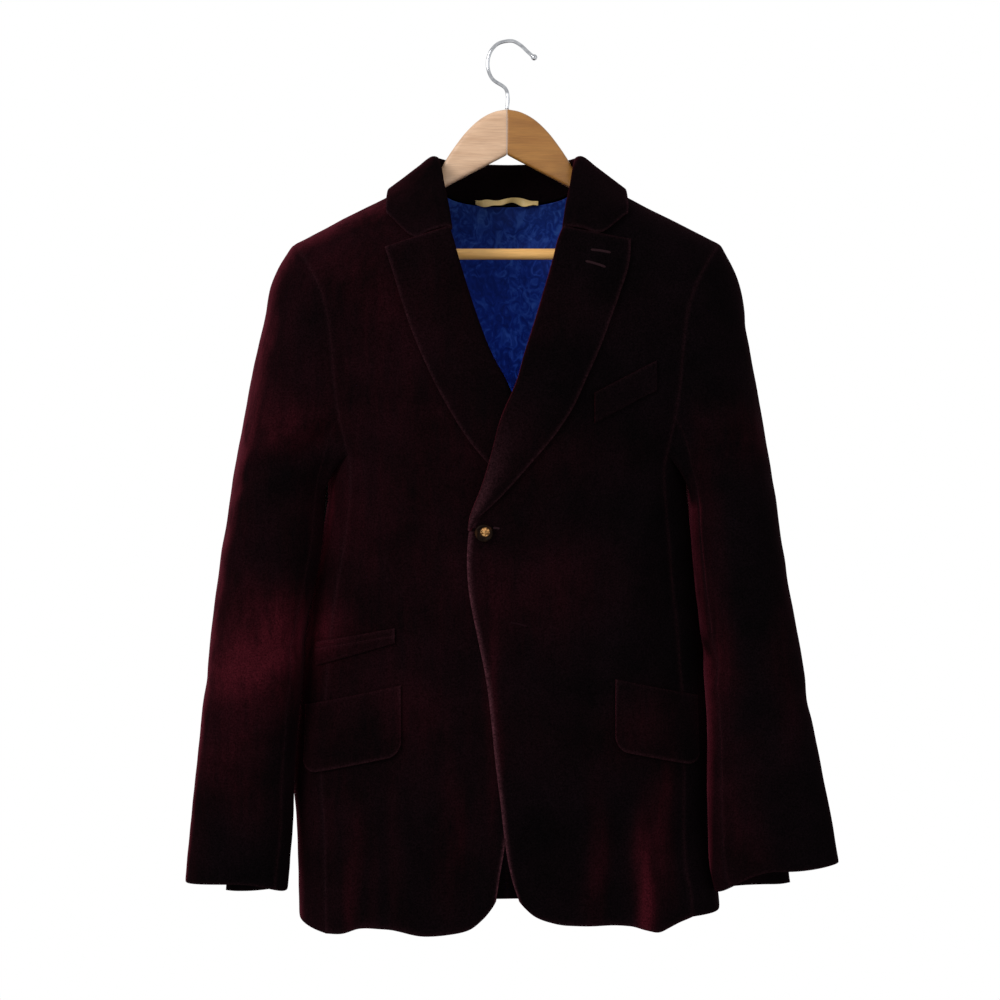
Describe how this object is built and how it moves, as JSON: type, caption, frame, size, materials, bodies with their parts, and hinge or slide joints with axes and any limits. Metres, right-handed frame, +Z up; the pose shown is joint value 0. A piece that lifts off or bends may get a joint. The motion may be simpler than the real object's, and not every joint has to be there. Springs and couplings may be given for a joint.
{
  "type": "blazer on hanger",
  "caption": "Single-breasted velour blazer with notch lapels, one fastened button, flap pockets and a ticket pocket, hanging open-necked on a wooden wishbone hanger.",
  "frame": {"origin": "inside top of the hanger's hook, where a rail carries it", "axes": "+Z up, -Y towards the jacket's front, +X towards the wearer's left"},
  "size_m": [0.6634, 0.1685, 0.912],
  "materials": {
    "velour": "deep wine velour with a raspberry sheen",
    "lining": "blue figured satin",
    "ribbon": "gold satin ribbon",
    "horn": "polished brown horn",
    "wood": "satin lacquer",
    "chrome": "polished"
  },
  "bodies": {
    "root": {"front_left": "velour", "front_right": "velour", "side_left": "velour", "side_right": "velour", "back_left": "velour", "back_right": "velour", "top_sleeve_left": "velour", "top_sleeve_right": "velour", "under_sleeve_left": "velour", "under_sleeve_right": "velour", "lapel_left": "velour", "lapel_right": "velour", "collar": "velour", "flap_left": "velour", "flap_right": "velour", "ticket_jet_upper": "velour", "ticket_jet_lower": "velour", "chest_welt": "velour", "lining_back_left": "lining", "lining_back_right": "lining", "hanging_loop": "ribbon", "button": "horn", "hanger_arm_left": "wood", "hanger_arm_right": "wood", "hanger_bar": "wood", "hanger_hook": "chrome"}
  },
  "joints": []
}
